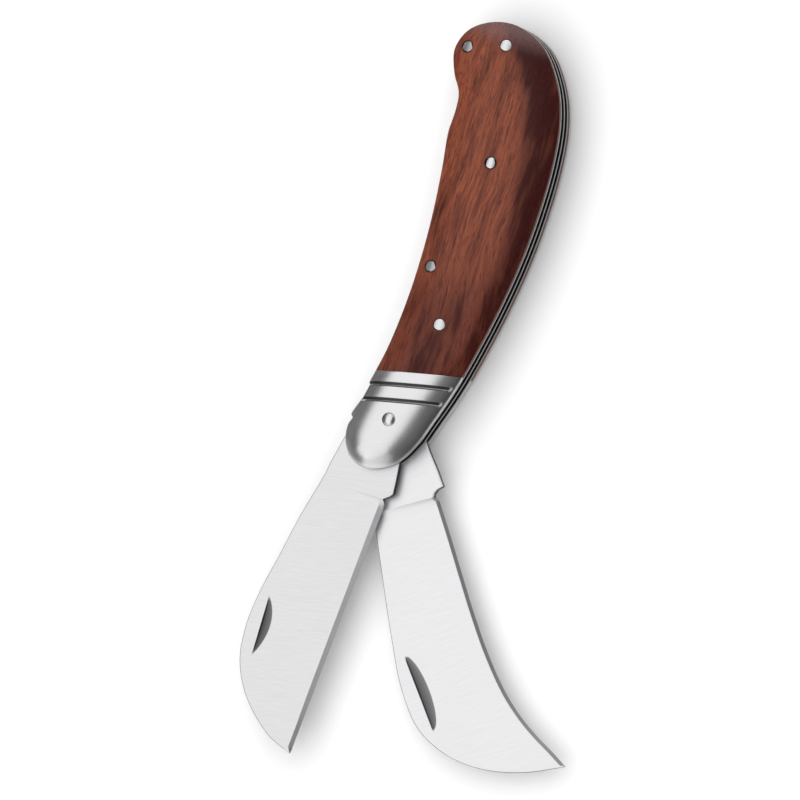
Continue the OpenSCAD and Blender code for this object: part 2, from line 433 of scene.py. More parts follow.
def smooth_curve(points: Outline, per_span: int, closed: bool = False) -> np.ndarray:
    """Smooth curve through points.

    Each span is a cubic Hermite curve. The direction at a point is the step between its two
    neighbours, over the length of the way between them, times the span's own chord.

    Args:
        points: The points, in order.
        per_span: How many samples each span gets.
        closed: Whether the last point joins the first.

    Returns:
        The samples, one row each.
    """
    row = np.asarray(points, float)
    if closed:
        row = np.concatenate([row[-1:], row, row[:2]])
    else:
        row = np.concatenate([2 * row[:1] - row[1:2], row, 2 * row[-1:] - row[-2:-1]])
    chord = np.linalg.norm(np.diff(row, axis=0), axis=1)
    heading = ((row[2:] - row[:-2]) / (chord[:-1] + chord[1:])[:, None])[:, None, :]
    start, end = row[1:-2, None, :], row[2:-1, None, :]
    length = chord[1:-1, None, None]
    t = (np.arange(per_span) / per_span)[None, :, None]
    u = 1 - t
    curve = (start * (1 + 2 * t) * u * u + end * t * t * (3 - 2 * t)
             + heading[:-1] * length * t * u * u - heading[1:] * length * t * t * u)
    curve = curve.reshape(-1, 2)
    return curve if closed else np.concatenate([curve, row[-2:-1]])


def straight_runs(points: Outline, per_span: int) -> np.ndarray:
    """Points evenly along each straight line between corners, without the last corner.

    Args:
        points: The corners, in order.
        per_span: How many points each line gets.

    Returns:
        The points, one row each.
    """
    corners = np.asarray(points, float)
    t = (np.arange(per_span) / per_span)[None, :, None]
    return (corners[:-1, None] * (1 - t) + corners[1:, None] * t).reshape(-1, 2)


def clustered(start: float, end: float, count: int, power: float = 1.0) -> np.ndarray:
    """Numbers from start to end, crowded towards start when power is over 1.

    Args:
        start: The first number.
        end: The last number.
        count: How many there are.
        power: The share of the way is raised to this.

    Returns:
        The numbers.
    """
    return start + (end - start) * np.linspace(0, 1, count) ** power


def smooth_step(value: np.ndarray, low: float, high: float) -> np.ndarray:
    """0 below low and 1 above high, with the curve 3 t^2 - 2 t^3 between them."""
    t = np.clip((value - low) / (high - low), 0, 1)
    return t * t * (3 - 2 * t)


def piece_from(name: str, points: np.ndarray, faces: list[list[int]],
               shade: np.ndarray | None = None) -> bpy.types.Object:
    """Makes a closed piece with its faces outwards.

    Args:
        name: The piece's name.
        points: Its points in millimetres, one row each.
        faces: The numbers of each face's points.
        shade: Painted shade at each point, how far its surface is darkened. 1 is fully, and
        less than 0 is a painted highlight that makes it paler.

    Returns:
        The new object, at the origin.
    """
    mesh = bpy.data.meshes.new(name)
    mesh.from_pydata((points * MM).tolist(), [], faces)
    if shade is not None:
        mesh.attributes.new(SHADE, "FLOAT", "POINT").data.foreach_set("value", shade.ravel())
    work = bmesh.new()
    work.from_mesh(mesh)
    bmesh.ops.remove_doubles(work, verts=work.verts, dist=WELD_REACH)
    bmesh.ops.recalc_face_normals(work, faces=work.faces)
    work.to_mesh(mesh)
    work.free()
    piece = bpy.data.objects.new(name, mesh)
    bpy.context.scene.collection.objects.link(piece)
    return piece


def loft(name: str, rings: np.ndarray, first_end: bool, last_end: bool,
         shade: np.ndarray | None = None) -> bpy.types.Object:
    """Skin over rings of points.

    Args:
        name: The piece's name.
        rings: An array of rings, points and axes. Each ring is closed.
        first_end: Whether the first ring is closed with a face.
        last_end: Whether the last ring is closed with a face.
        shade: Painted shade on its surface, as an array of rings and points.

    Returns:
        The new object.
    """
    count, around = rings.shape[:2]
    here = np.arange(count * around).reshape(count, around)
    beside = np.roll(here, -1, axis=1)
    quads = np.stack([here[:-1], beside[:-1], beside[1:], here[1:]], axis=-1).reshape(-1, 4)
    faces = quads.tolist()
    if first_end:
        faces.append(here[0, ::-1].tolist())
    if last_end:
        faces.append(here[-1].tolist())
    return piece_from(name, rings.reshape(-1, 3), faces, shade)


def plate(name: str, outline: np.ndarray, low: float, high: float, bevel: float) -> bpy.types.Object:
    """Flat plate with softened edges, and painted shade on its faces.

    Its four rings are the outline pulled in by the bevel at the two faces, and the whole
    outline a bevel away from each face. A point is pulled in along the normal there.

    Args:
        name: The piece's name.
        outline: The plate's closed outline, counter-clockwise.
        low: Height of its lower face.
        high: Height of its upper face.
        bevel: Width of the softened edge.

    Returns:
        The new object.
    """
    along = np.roll(outline, -1, axis=0) - np.roll(outline, 1, axis=0)
    along /= np.linalg.norm(along, axis=1, keepdims=True)
    inward = np.stack([-along[:, 1], along[:, 0]], axis=1)
    insets = np.array([bevel, 0, 0, bevel])
    heights = np.array([low, low + bevel, high - bevel, high])
    flat = outline[None] + inward[None] * insets[:, None, None]
    tall = np.broadcast_to(heights[:, None, None], (*flat.shape[:2], 1))
    # Painted shade on both faces, for the dark wells between plates; the edges stay unshaded.
    shade = np.broadcast_to(np.array([1.0, 0, 0, 1.0])[:, None], flat.shape[:2])
    return loft(name, np.concatenate([flat, tall], axis=2), True, True, shade)


def bore(piece: bpy.types.Object, centres: list[np.ndarray], radius: float, height: float) -> None:
    """Drills round holes through a piece, along Z.

    Args:
        piece: The piece.
        centres: The holes' middles in the plan.
        radius: Their radius.
        height: The drill reaches this far up and a little below the resting face.
    """
    turn = np.linspace(0, 2 * np.pi, DRILL_SIDES, endpoint=False)
    for centre in centres:
        ring = np.stack([centre[0] + radius * np.cos(turn), centre[1] + radius * np.sin(turn)], 1)
        drill = plate("drill", ring, -DRILL_SPARE, height + DRILL_SPARE, DRILL_EDGE)
        cut = piece.modifiers.new("bore", "BOOLEAN")
        cut.object = drill
        cut.operation = "DIFFERENCE"
        cut.solver = "EXACT"
        whole = piece.evaluated_get(bpy.context.evaluated_depsgraph_get())
        drilled = bpy.data.meshes.new_from_object(whole)
        piece.modifiers.clear()
        piece.data = drilled
        bpy.data.objects.remove(drill)


def dress(piece: bpy.types.Object, material: bpy.types.Material,
          crease: float = 28.0) -> None:
    """Gives a piece its shading and its finish, and ties it to the frame.

    Args:
        piece: The piece, named as the node that it stands for with "_skin" added.
        material: Its material.
        crease: Edges that bend more than this many degrees stay sharp.
    """
    piece.data.polygons.foreach_set("use_smooth", np.ones(len(piece.data.polygons), bool))
    piece.data.set_sharp_from_angle(angle=math.radians(crease))
    piece.data.materials.clear()
    piece.data.materials.append(material)
    node = piece.name.removesuffix("_skin")
    bodies = frame["record"]["behaviour"]["bodies"]
    body = next(name for name, members in bodies.items() if node in members)
    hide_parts(node)
    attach(piece, body)
    log.info("%s: %d faces, rides %s", piece.name, len(piece.data.polygons), body)


def box_of(node: str) -> tuple[np.ndarray, np.ndarray]:
    """Lowest and highest corner of a node of the frame, in millimetres."""
    low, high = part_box(node)
    return np.array(low) / MM, np.array(high) / MM


def middle_of(node: str) -> np.ndarray:
    """Where a pin of the frame stands in the plan, in millimetres."""
    low, high = box_of(node)
    return (low[:2] + high[:2]) / 2


def radius_of(node: str) -> float:
    """Radius of a pin of the frame, in millimetres."""
    low, high = box_of(node)
    return float(high[0] - low[0]) / 2


# ---- Handle ----


@dataclass
class HandlePlan:
    """The handle seen from above, and the net of lines laid over it.

    A level is a place's distance from the pivot, measured square to the joint between the
    bolster and the wood. Every line of one level crosses the outline twice.
    """

    slope: float = math.radians(11)
    joint: float = 11.8
    per_span: int = 12
    batch: int = 2000

    def __post_init__(self) -> None:
        """Works out the outline and its two halves between the lowest and highest levels."""
        spring_side = [(-3.9, 99.8), (-9.2, 96.4), (-11.3, 91), (-9.7, 85.4), (-7.2, 81),
                       (-6.7, 76.5), (-6.9, 71), (-5.8, 62.2), (-4.8, 50.5), (-4.5, 41),
                       (-4.8, 29.1), (-6.1, 16.6), (-8.4, 5.8)]
        bolster_end = [(-9.9, -1.5), (-10.1, -6), (-8.4, -10.3), (-5.6, -12.3), (-2.3, -12.8),
                       (1.5, -11.4), (4.7, -8.9), (7.8, -3.7), (9.7, 1.5)]
        well_side = [(12.9, 11), (15.4, 20.8), (18, 33.6), (19.8, 46.1), (20.6, 58.3),
                     (20.5, 70.2), (19.2, 80.5), (16.1, 89), (10, 97), (2.6, 100.4)]
        self.spring_side = spring_side
        outline = smooth_curve(spring_side + bolster_end + well_side, self.per_span, closed=True)
        self.outline = outline
        level = self.level(outline[:, 0], outline[:, 1])
        ordered = np.roll(outline, -int(level.argmin()), axis=0)
        rise = self.level(ordered[:, 0], ordered[:, 1])
        top = int(rise.argmax())
        self.right = ordered[:top + 1, 0], rise[:top + 1]
        self.left = (np.append(ordered[top:, 0], ordered[0, 0])[::-1],
                     np.append(rise[top:], rise[0])[::-1])
        self.lowest, self.highest = float(rise[0]), float(rise[top])

    def level(self, x: np.ndarray, y: np.ndarray) -> np.ndarray:
        """The level of each place: y cos(slope) - x sin(slope)."""
        return y * math.cos(self.slope) - x * math.sin(self.slope)

    def sides(self, levels: np.ndarray) -> tuple[np.ndarray, np.ndarray]:
        """X of the left and the right ends of each level's line."""
        return (np.interp(levels, self.left[1], self.left[0]),
                np.interp(levels, self.right[1], self.right[0]))

    def y_at(self, x: np.ndarray, levels: np.ndarray) -> np.ndarray:
        """Y of places on each level's line: (level + x sin(slope)) / cos(slope)."""
        return (levels[:, None] + x * math.sin(self.slope)) / math.cos(self.slope)

    def net(self, levels: np.ndarray, across: int) -> tuple[np.ndarray, np.ndarray]:
        """Places on a grid over the handle.

        Along a line, a place lies at the sine of its share of the way, so places crowd
        towards the outline.

        Args:
            levels: The lines' levels.
            across: How many places each line gets.

        Returns:
            X and Y, each an array of lines and places.
        """
        left, right = self.sides(levels)
        share = np.sin(np.linspace(-np.pi / 2, np.pi / 2, across))[None]
        x = (left + right)[:, None] / 2 + (right - left)[:, None] / 2 * share
        return x, self.y_at(x, levels)

    def margin(self, x: np.ndarray, y: np.ndarray) -> np.ndarray:
        """Each place's distance to the outline.

        The distance to a straight piece of the outline is taken at the nearest of its points,
        and the least of them counts.

        Args:
            x: X of the places.
            y: Y of the places.

        Returns:
            The distances, in the shape of x.
        """
        start = self.outline
        step = np.roll(start, -1, axis=0) - start
        square = (step ** 2).sum(1)
        places = np.stack([x.ravel(), y.ravel()], axis=1)

        def nearest(some: np.ndarray) -> np.ndarray:
            """Least distance from each of some places to the outline."""
            away = some[:, None] - start[None]
            share = np.clip((away * step[None]).sum(2) / square, 0, 1)
            return np.linalg.norm(away - share[..., None] * step[None], axis=2).min(1)

        parts = np.array_split(places, max(1, len(places) // self.batch))
        return np.concatenate([nearest(part) for part in parts]).reshape(x.shape)


@dataclass
class Crown:
    """The rounded outside of a scale or a bolster, over one face of its liner."""

    plan: HandlePlan
    base: float
    height: float
    middle: float
    wall: float = 1.5
    fullness: float = 2.3
    edge_drop: float = 0.06
    edge_width: float = 0.25
    land_drop: float = 0.1
    reach_share: float = 0.72
    reach_least: float = 4.0
    # Painted shade along the rim: its strength, its reach inwards and where it fades out at the tip.
    tarnish: float = 0.6
    tarnish_reach: tuple[float, float] = (0.2, 2.4)
    tarnish_end: tuple[float, float] = (-12, -6)
    grooves: tuple[float, ...] = ()
    groove_width: float = 1.2
    groove_depth: float = 0.5
    groove_left: tuple[float, float] = (-0.4, 0.3)
    groove_right: tuple[float, float] = (0.2, 1.4)
    # A painted highlight on each groove's lower lip, given as a shade below 0.
    lip_shade: float = -0.3
    tuck: float = 0.0
    tuck_start: tuple[float, float] = (-2.0, 0.0)
    tuck_end: tuple[float, float] = (8.1, 8.7)

    def top(self, x: np.ndarray, y: np.ndarray) -> np.ndarray:
        """Height of the rounded surface.

        Past the upright wall, the height is rise (1 - (1 - t)^fullness), with t the distance
        to the outline over the reach, and stays level from t = 1. The reach grows with the
        handle's half width. The wall's edge is softened by a drop that falls off with the
        square of that distance. A groove takes off depth (1 - s^2), with s the place across
        it from -1 to 1, and fades out just inside the outline.

        Args:
            x: X of the places.
            y: Y of the places.

        Returns:
            Heights in the shape of x.
        """
        level = self.plan.level(x, y)
        left, right = self.plan.sides(level)
        reach = np.hypot(self.reach_share * (right - left) / 2, self.reach_least)
        margin = self.plan.margin(x, y)
        inward = 1 - np.clip(margin / reach, 0, 1)
        rise = self.height - self.base - self.land_drop - self.wall
        height = self.base + self.wall + rise * (1 - inward ** self.fullness)
        height = height - self.edge_drop * (1 - np.clip(margin / self.edge_width, 0, 1)) ** 2
        for groove in self.grooves:
            s = np.clip((level - groove) / (self.groove_width / 2), -1, 1)
            height = height - self.groove_depth * (1 - s ** 2) * self.groove_fade(x, left, right)
        return height

    def groove_fade(self, x: np.ndarray, left: np.ndarray, right: np.ndarray) -> np.ndarray:
        """How deep the grooves are at each place: open at the left, rounded at the right."""
        return smooth_step(x - left, *self.groove_left) * smooth_step(right - x, *self.groove_right)

    def shade(self, x: np.ndarray, y: np.ndarray) -> np.ndarray:
        """How far the metal is darkened.

        Painted shade darkens the grooves, from their floor to their upper lip, and a painted
        highlight makes their lower lip paler. Painted shade also darkens its rim, but not around
        the tip.

        Args:
            x: X of the places.
            y: Y of the places.

        Returns:
            Shades in the shape of x.
        """
        level = self.plan.level(x, y)
        fade = self.groove_fade(x, *self.plan.sides(level))
        dark = np.zeros_like(x)
        for groove in self.grooves:
            s = (level - groove) / (self.groove_width / 2)
            # Painted shade in the groove, from its floor to its upper lip.
            dark = np.maximum(dark, smooth_step(s, -0.45, -0.15) * smooth_step(-s, -1.05, -0.8))
            # Painted highlight on the groove's lower lip.
            lip = self.lip_shade * smooth_step(-np.abs(s + 0.7), -0.35, -0.1)
            dark = np.maximum(dark, lip * (dark <= 0))
        # Painted shade along the rim.
        rim = 1 - smooth_step(self.plan.margin(x, y), *self.tarnish_reach)
        rim = self.tarnish * rim * smooth_step(y, *self.tarnish_end)
        return np.where(dark * fade > 0, np.maximum(dark * fade, rim), dark * fade + rim)

    def shell(self, name: str, levels: np.ndarray, side: Side, across: int = 96,
              soften: float = 0.12) -> bpy.types.Object:
        """The solid under the surface.

        Each ring goes up the left wall, over the crown and down the right wall. The ring at
        the joint is lowered a little, which softens that edge. Beside the spring's nose, the
        left wall is tucked in from the outline.

        Args:
            name: The piece's name.
            levels: The rings' levels, from the joint to the far end.
            side: Which face of the knife it is on.
            across: Places over the crown.
            soften: How far the joint's edge is lowered.

        Returns:
            The new object.
        """
        x, y = self.plan.net(levels, across)
        tuck = (self.tuck * smooth_step(levels, *self.tuck_start)
                * (1 - smooth_step(levels, *self.tuck_end)))
        x = x + tuck[:, None] * (x[:, -1:] - x) / np.maximum(x[:, -1:] - x[:, :1], 0.1)
        y = self.plan.y_at(x, levels)
        z = self.top(x, y)
        shade = np.pad(self.shade(x, y), ((0, 0), (1, 1)))
        drop = np.zeros(len(levels))
        drop[0], drop[1] = soften, soften * 0.3
        z = z - drop[:, None]
        base = np.full((len(levels), 1), self.base)
        low = np.concatenate([x[:, :1], y[:, :1], base], axis=1)[:, None]
        high = np.concatenate([x[:, -1:], y[:, -1:], base], axis=1)[:, None]
        rings = np.concatenate([low, np.stack([x, y, z], axis=2), high], axis=1)
        if side is Side.BACK:
            rings[..., 2] = 2 * self.middle - rings[..., 2]
        return loft(name, rings, True, False, shade)


@dataclass
class WoodCrown(Crown):
    """The rounded outside of a scale, with painted shade and darker timber towards the well side."""

    # Painted shade along the well side, where the crown turns from the light, with darker timber in it.
    band: float = 0.90
    band_start: float = 0.60
    band_lean: float = 0.0065
    band_centre: float = 45.0
    band_border: tuple[float, float] = (-0.28, 0.24)
    band_loss: float = 0.45
    low_end: tuple[float, float] = (18, 42)
    heart: float = 0.50
    heart_place: float = -0.02
    heart_width: float = 0.42
    foot: float = 0.42
    foot_end: tuple[float, float] = (24, 50)

    def shade(self, x: np.ndarray, y: np.ndarray) -> np.ndarray:
        """How far the wood is darkened.

        A band of painted shade, which also stands for darker timber, runs along the well side,
        wider towards the butt. It is weaker near the bolster, where the whole foot is darker and a
        heart streak, a bell curve across the handle, fades in.

        Args:
            x: X of the places.
            y: Y of the places.

        Returns:
            Shades in the shape of x.
        """
        level = self.plan.level(x, y)
        left, right = self.plan.sides(level)
        across = (2 * x - left - right) / np.maximum(right - left, 0.1)
        low = 1 - smooth_step(level, *self.low_end)
        start = self.band_start - self.band_lean * (level - self.band_centre)
        # Painted shade along the well side, with darker timber in it.
        band = self.band * smooth_step(across - start, *self.band_border) * (1 - self.band_loss * low)
        heart = self.heart * low * np.exp(-((across - self.heart_place) / self.heart_width) ** 2)
        foot = self.foot * (1 - smooth_step(level, *self.foot_end))
        return 1 - (1 - band) * (1 - heart) * (1 - foot)


@dataclass
class Handle:
    """Wooden scales, bolsters, liners and springs."""

    plan: HandlePlan
    groove_levels: tuple[float, float] = (8.6, 4.7)
    liner_bevel: float = 0.14
    spring_bevel: float = 0.12
    hole_play: float = 0.08
    tuck: float = 0.6

    def __post_init__(self) -> None:
        """Reads the stack's heights and the pins' places from the frame."""
        low, high = box_of("front_scale")
        self.top = high[2]
        self.middle = high[2] / 2
        self.base = low[2]
        self.pivot = middle_of("pivot_pin")
        self.spring_pins = [middle_of("spring_pin"), middle_of("butt_pin")]
        self.scale_pins = [middle_of(f"front_scale_pin_{n}") for n in (1, 2, 3)]
        self.pin_radius = radius_of("front_scale_pin_1")
        self.pivot_radius = radius_of("pivot_pin")
        self.wood_crown = WoodCrown(self.plan, self.base, self.top, self.middle)
        self.bolster_crown = Crown(self.plan, self.base, self.top, self.middle,
                                   grooves=self.groove_levels, tuck=self.tuck)

    def drill_pins(self, piece: bpy.types.Object, pins: list[np.ndarray]) -> None:
        """Makes holes for some of the handle's pins in a piece."""
        bore(piece, pins, self.pin_radius + self.hole_play, self.top)

    def drill_pivot(self, piece: bpy.types.Object) -> None:
        """Makes the hole for the pivot pin in a piece."""
        bore(piece, [self.pivot], self.pivot_radius + self.hole_play, self.top)

    def build_scales(self) -> None:
        """Both wooden scales."""
        plan = self.plan
        levels = np.concatenate([[plan.joint, plan.joint + 0.06],
                                 clustered(plan.joint + 0.2, 80, 120)[:-1],
                                 clustered(plan.highest, 80, 60, 2.0)[::-1]])
        pins = self.spring_pins + self.scale_pins
        for side in Side:
            wood = Rosewood().material(f"rosewood_{side.word}", pins, self.pin_radius)
            piece = self.wood_crown.shell(f"{side.word}_scale_skin", levels, side)
            self.drill_pins(piece, pins)
            dress(piece, wood)

    def build_bolsters(self) -> None:
        """Both bolsters, with rings crowded into the grooves and towards the tip."""
        plan, half = self.plan, self.bolster_crown.groove_width / 2
        across = half * np.sin(np.linspace(-np.pi / 2, np.pi / 2, 17))
        upper, lower = self.groove_levels
        levels = np.concatenate([
            [plan.joint, plan.joint - 0.05], clustered(plan.joint - 0.15, upper + half, 12)[:-1],
            upper - across, clustered(upper - half, lower + half, 14)[1:-1], lower - across,
            clustered(plan.lowest, lower - half, 70, 2.0)[::-1][1:]])
        metal = Steel(tone=0.78, roughness=0.30, line_depth=0.0006, line_length=2.0,
                      stain=0.10, line_turn=math.radians(90)).material("bolster")
        for side in Side:
            piece = self.bolster_crown.shell(f"{side.word}_bolster_skin", levels, side)
            self.drill_pivot(piece)
            dress(piece, metal)

    def build_liners(self) -> None:
        """The three liners."""
        metal = Steel(tone=0.36, roughness=0.34, line_length=14.0,
                      line_turn=math.radians(80)).material("liner")
        for node in ("front_liner", "centre_liner", "back_liner"):
            low, high = box_of(node)
            piece = plate(f"{node}_skin", self.plan.outline, low[2], high[2], self.liner_bevel)
            self.drill_pins(piece, self.spring_pins + (self.scale_pins if node != "centre_liner" else []))
            self.drill_pivot(piece)
            dress(piece, metal)

    def build_springs(self) -> None:
        """Both back springs, from the nose beside the tang up to the butt."""
        nose = [(-10.4, 0.4), (-10.8, -1.2), (-10.2, -1.9)]
        inner = [(-6.6, -1.9), (-6.6, 3.5), (-4.6, 9), (-4.1, 14), (-3.4, 20), (-1.9, 28),
                 (0.6, 34), (1.4, 38.5), (0.4, 43.5), (-1.6, 52), (-2.7, 66), (-3.3, 80),
                 (-3, 88), (-2.4, 99)]
        outline = np.concatenate([smooth_curve(self.plan.spring_side + nose, 10),
                                  smooth_curve(inner, 10)])
        metal = Steel(tone=0.50, roughness=0.32, line_length=12.0, darkening=0.6,
                      line_turn=math.radians(88)).material("spring")
        for side in Side:
            low, high = box_of(f"{side.word}_spring")
            piece = plate(f"{side.word}_spring_skin", outline, low[2], high[2], self.spring_bevel)
            self.drill_pins(piece, self.spring_pins)
            dress(piece, metal)

    def build(self) -> None:
        """Everything on the handle but its pins."""
        self.build_scales()
        self.build_bolsters()
        self.build_liners()
        self.build_springs()


# ---- Pins ----


@dataclass(frozen=True)
class Head:
    """A peened pin head: its dome, how far its rim is sunk, and how it leaves a circle."""

    bulge: float = 0.08
    shoulder: float = 0.12
    lobes: float = 0.04
    squeeze: float = 1.0


@dataclass
class PinSet:
    """Pins with heads peened over, which follow the surface that they stand in."""

    handle: Handle
    around: int = 64
    steps: int = 12

    def disc(self, node: str, radius: float, crown: Crown, style: Head) -> np.ndarray:
        """Rings of a head, from its rim to its middle.

        The head's height is the crown's, less a shoulder at the rim, plus a bulge that falls
        off with the square of the distance from the pin's axis. The rim is a circle with
        three and five shallow lobes.

        Args:
            node: The pin's node, for its place.
            radius: The pin's radius.
            crown: The surface that the head stands in.
            style: The head's shape.

        Returns:
            An array of rings, points and axes.
        """
        share = np.sin(np.linspace(np.pi / 2, 0, self.steps))[:, None]
        turn = np.linspace(0, 2 * np.pi, self.around, endpoint=False)[None]
        wave = 0.6 * np.cos(3 * turn + 1) + 0.4 * np.cos(5 * turn)
        rim = radius * (1 - style.lobes + style.lobes * wave)
        x, y = middle_of(node)[:, None, None] + np.stack([share * rim * np.cos(turn) * style.squeeze,
                                                          share * rim * np.sin(turn)])
        z = crown.top(x, y) - style.shoulder + (style.bulge + style.shoulder) * (1 - share ** 2)
        return np.stack([x, y, np.minimum(z, self.handle.top)], axis=2)

    def build_pin(self, node: str, radius: float, crown: Crown, metal: bpy.types.Material,
                  through: bool, style: Head) -> None:
        """One pin.

        Args:
            node: The node that it stands for.
            radius: Its radius.
            crown: The surface that its heads stand in.
            metal: Its material.
            through: Whether it has a head on both faces of the knife. Otherwise its inner
                end is flat, at the end of its node.
            style: The shape of its heads.
        """
        head = self.disc(node, radius, crown, style)
        middle = self.handle.middle
        low, high = box_of(node)
        if through:
            foot = head[::-1].copy()
            foot[..., 2] = 2 * middle - foot[..., 2]
        elif low[2] > middle:
            foot = head[:1].copy()
            foot[..., 2] = low[2]
        else:
            head[..., 2] = 2 * middle - head[..., 2]
            foot = head[:1].copy()
            foot[..., 2] = high[2]
        rings = np.concatenate([foot, head])
        dress(loft(f"{node}_skin", rings, not through, False), metal, crease=40)

    def build(self) -> None:
        """Every pin of the knife."""
        handle = self.handle
        bright = Steel(tone=0.80, roughness=0.28, line_width=0.3, line_length=1.5,
                       line_turn=math.radians(90), line_depth=0.02).material("pin_bright")
        satin = Steel(tone=0.86, roughness=0.42, line_width=0.3, line_length=0.5,
                      line_depth=0.02).material("pin_satin")
        dull = Steel(tone=0.50, roughness=0.42, line_width=0.3, line_length=0.5, stain=0.3,
                     line_depth=0.02).material("pin_dull")
        self.build_pin("pivot_pin", handle.pivot_radius, handle.bolster_crown, bright, True,
                       Head(bulge=0.10, shoulder=0.38, lobes=0.0))
        for node in ("spring_pin", "butt_pin"):
            self.build_pin(node, handle.pin_radius, handle.wood_crown, dull, True,
                           Head(bulge=0.06, shoulder=0.14, lobes=0.08))
        squeezes = (1.0, 0.8, 1.0)
        for side in Side:
            for number, squeeze in enumerate(squeezes, 1):
                self.build_pin(f"{side.word}_scale_pin_{number}", handle.pin_radius,
                               handle.wood_crown, satin, False,
                               Head(bulge=0.08, shoulder=0.12, squeeze=squeeze))


# ---- Blades ----


@dataclass
class Nick:
    """Thumbnail cut beside the spine: an upright side and a floor that slopes up to a curve."""

    start: tuple[float, float]
    end: tuple[float, float]
    bulge: float
    fullness: float
    depth: float = 0.62
    least: float = 0.25


@dataclass
class Blade:
    """A flat-ground blade. Its outline is drawn fully open, pointing to -Y.

    The lists run side by side from the tang's round to the tip: a point of the spine's list
    and the point of the edge's list with the same number are the two ends of one line
    across the blade.
    """

    node: str
    tang_spine: Outline
    tang_edge: Outline
    spine: Outline
    edge: Outline
    nick: Nick
    turn: float = 0.0
    tang_radius: float = 6.3
    bevel_width: float = 1.3
    # Painted shade on the bevel.
    bevel_shade: float = 0.1
    ground: float = 0.8
    edge_left: float = 0.1
    spine_round: float = 0.22
    plunge: float = 2.6
    tang_bevel: float = 0.12
    wall_run: float = 0.04
    hole_play: float = 0.05

    def ends(self) -> tuple[np.ndarray, np.ndarray, np.ndarray]:
        """The ends of every line across the blade.

        The tang's round is a half circle, its outline below is straight between its corners,
        and the ground blade's is a smooth curve. Past the tang, a line is ground by
        1 - (1 - t)^2, with t its distance from the plunge line over the plunge's length.

        Returns:
            The spine's ends, the edge's ends, and how far each line is ground, from 0 to 1.
        """
        angle = np.linspace(np.pi / 2, 0, 16)[:-1]
        circle = self.tang_radius * np.stack([np.cos(angle), np.sin(angle)], axis=1)
        left_tang = straight_runs([(-self.tang_radius, 0.0), *self.tang_spine], 6)
        right_tang = straight_runs([(self.tang_radius, 0.0), *self.tang_edge], 6)
        left_step = straight_runs([self.tang_spine[-1], self.spine[0]], 14)
        right_step = straight_runs([self.tang_edge[-1], self.edge[0]], 14)
        left_ground = smooth_curve(self.spine, 22)
        right_ground = smooth_curve(self.edge, 22)
        left = np.concatenate([circle * (-1, 1), left_tang, left_step, left_ground])
        right = np.concatenate([circle, right_tang, right_step, right_ground])
        start = len(circle) + len(left_tang)
        middle = (left + right) / 2
        past = np.linalg.norm(middle - middle[start], axis=1)
        past[:start] = 0
        return left, right, 1 - (1 - np.clip(past / self.plunge, 0, 1)) ** 2

    def nick_on(self, left: np.ndarray, way: np.ndarray,
                width: np.ndarray) -> tuple[np.ndarray, np.ndarray, np.ndarray]:
        """Where each line crosses the nick.

        The nick's upright side is a straight line. Between its ends, the width of the nick
        and its depth there follow (4 s (1 - s)) to the fullness, with s the share of the way.

        Args:
            left: The lines' ends at the spine.
            way: Their directions.
            width: Their lengths.

        Returns:
            How far along each line the upright side is, the nick's width along the line, and
            its depth at the upright side.
        """
        start, end = np.array(self.nick.start), np.array(self.nick.end)
        run = end - start

        def cross(a: np.ndarray, b: np.ndarray) -> np.ndarray:
            """Cross product of plan vectors."""
            return a[..., 0] * b[..., 1] - a[..., 1] * b[..., 0]

        slant = cross(way, run)
        at = cross(start - left, run) / np.where(np.abs(slant) < 1e-6, 1e-6, slant)
        s = np.clip(((left + way * at[:, None] - start) * run).sum(1) / (run ** 2).sum(), 0, 1)
        shape = (4 * s * (1 - s)) ** self.nick.fullness
        spread = np.linalg.norm(run) / np.maximum(np.abs(slant), 1e-6)
        reach = np.maximum(self.nick.bulge * shape * np.minimum(spread, 2.0), self.nick.least)
        at = np.clip(at, 0.12 * width, 0.6 * width)
        return at, np.minimum(reach, 0.3 * width), self.nick.depth * shape

    def rings(self, half: float) -> tuple[np.ndarray, np.ndarray]:
        """Closed rings across the blade, from the tang's round to the tip.

        Over the front face, a ring rises round the spine's edge, runs flat to the nick's
        upright side, drops, climbs the nick's floor, runs on to the bevel and goes down to
        the cutting edge. The back face is the same without the nick. A face is one plane from
        the spine to the bevel, so the spine gets thinner as the blade gets narrower, and
        another plane from the bevel to the edge. Painted shade darkens the spine's corner, the
        sides of the tang, the nick's floor and, in part, the bevel.

        Args:
            half: Half of the blade's thickness.

        Returns:
            An array of rings, points and axes, about the blade's own mid-plane, and the shade
            of each point.
        """
        left, right, ground = self.ends()
        way = right - left
        width = np.maximum(np.linalg.norm(way, axis=1), 1e-4)
        way = way / width[:, None]
        bevel = np.minimum(self.bevel_width, 0.5 * width)
        corner = np.minimum(self.spine_round, 0.08 * width)
        taper = (width - bevel) / (width - bevel)[ground > 0].max()
        slim = half + (self.ground / 2 - half) * (1 - taper) * ground
        at, reach, depth = self.nick_on(left, way, width)
        inner = np.minimum(self.ground / 2, slim * 0.95)

        quarter = np.linspace(0, np.pi / 2, 5)[None, :-1]
        before = np.linspace(0, 1, 5)[None, :-1]
        floor = np.linspace(0, 1, 10)[None]
        after = np.array([0.006, *np.linspace(0, 1, 9)[1:-1]])[None]
        last = np.array([0, 0.06, 0.5, 0.94, 1])[None]

        def column(values: np.ndarray) -> np.ndarray:
            """Values as one column."""
            return values[:, None]

